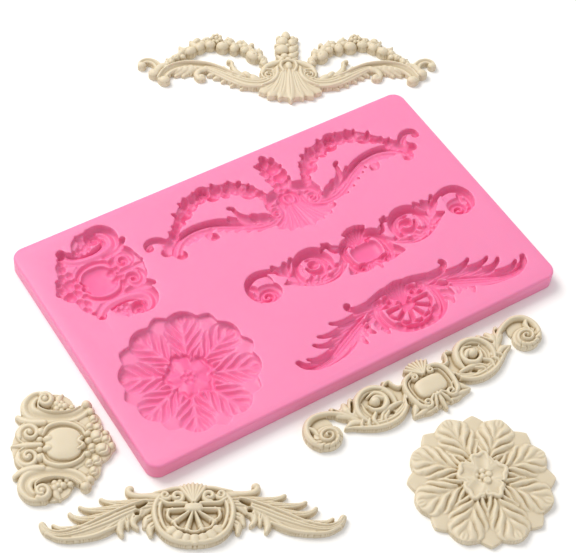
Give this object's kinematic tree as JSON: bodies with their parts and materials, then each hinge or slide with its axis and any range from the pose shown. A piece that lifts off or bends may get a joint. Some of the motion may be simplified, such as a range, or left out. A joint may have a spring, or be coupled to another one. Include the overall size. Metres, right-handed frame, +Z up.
{
  "type": "resin casting mould",
  "caption": "Flat silicone mould with ornamental relief cavities on its upper face, laid out with the loose cast resin ornaments that it makes.",
  "frame": {"origin": "centre of the mould's flat base, on the surface it lies on", "axes": "+Z up, out of the open cavities; +X along the mould's long side, towards the end with the crown, bar and swag cavities; +Y across it, towards the crown cavity"},
  "size_m": [0.2419, 0.2583, 0.007],
  "materials": {
    "silicone": "satin platinum-cure silicone rubber, pink right through",
    "cast_resin": "matt cream polyurethane casting resin"
  },
  "bodies": {
    "mould": {"silicone_mould": "silicone"},
    "crown_piece": {"crown_casting": "cast_resin"},
    "scroll_bar_piece": {"scroll_bar_casting": "cast_resin"},
    "fan_swag_piece": {"fan_swag_casting": "cast_resin"},
    "rosette_piece": {"rosette_casting": "cast_resin"},
    "cartouche_piece": {"cartouche_casting": "cast_resin"}
  },
  "joints": [
    {"name": "crown_lift", "type": "slide", "parent": "mould", "child": "crown_piece", "axis": [0, 0, 1], "range_m": [0, 0.05]},
    {"name": "scroll_bar_lift", "type": "slide", "parent": "mould", "child": "scroll_bar_piece", "axis": [0, 0, 1], "range_m": [0, 0.05]},
    {"name": "fan_swag_lift", "type": "slide", "parent": "mould", "child": "fan_swag_piece", "axis": [0, 0, 1], "range_m": [0, 0.05]},
    {"name": "rosette_lift", "type": "slide", "parent": "mould", "child": "rosette_piece", "axis": [0, 0, 1], "range_m": [0, 0.05]},
    {"name": "cartouche_lift", "type": "slide", "parent": "mould", "child": "cartouche_piece", "axis": [0, 0, 1], "range_m": [0, 0.05]}
  ]
}
